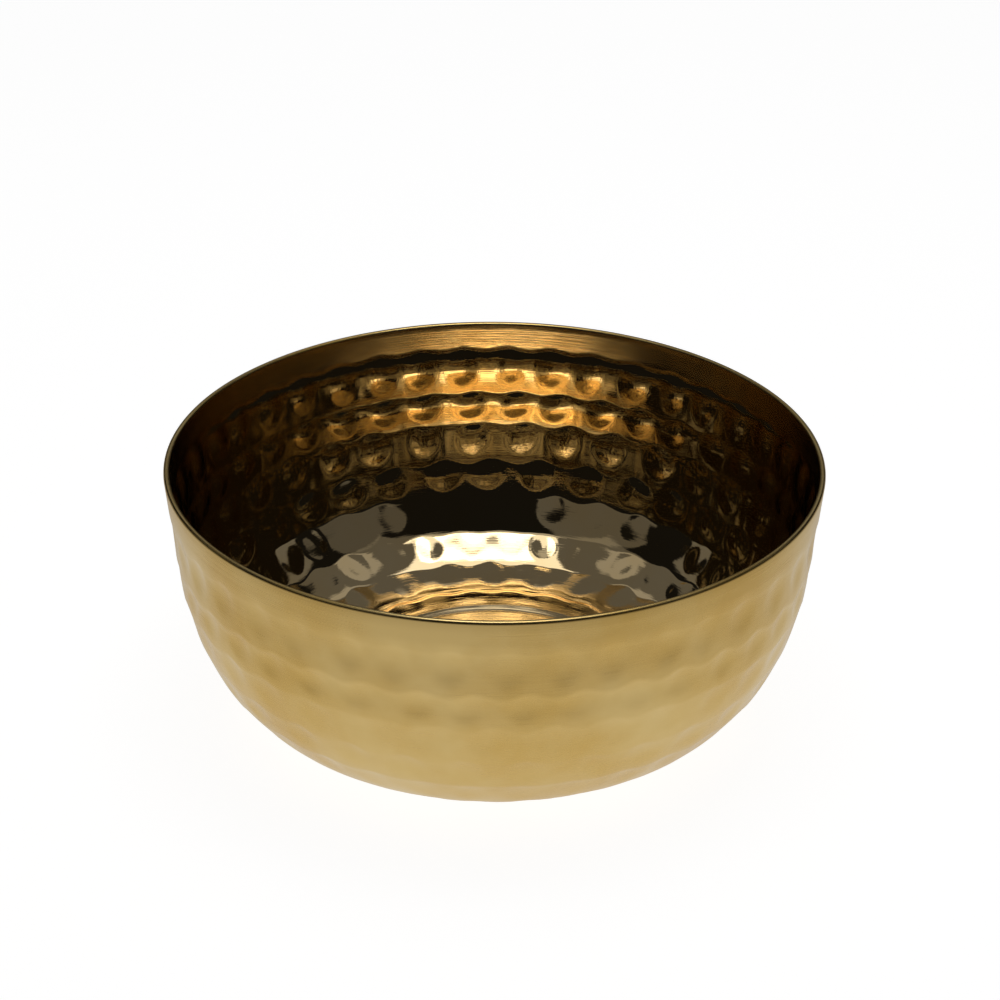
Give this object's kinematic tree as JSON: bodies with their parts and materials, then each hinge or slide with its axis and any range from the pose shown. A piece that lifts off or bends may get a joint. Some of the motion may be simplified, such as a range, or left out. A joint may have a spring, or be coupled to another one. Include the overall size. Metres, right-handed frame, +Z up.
{
  "type": "hammered metal bowl",
  "caption": "Round open bowl with straight upper wall, rounded hip and pressed flat seat, raised from one hammered sheet, for serving or display.",
  "frame": {"origin": "centre of the flat seat, on the plane that the bowl stands on", "axes": "+Z up along the bowl's axis of revolution, out of its mouth; X and Y are equivalent"},
  "size_m": [0.15, 0.15, 0.0639],
  "materials": {
    "polished_sheet": "mirror polished over planished hammer marks, fine buffing lines around the axis"
  },
  "bodies": {
    "root": {"bowl_shell": "polished_sheet"}
  },
  "joints": []
}
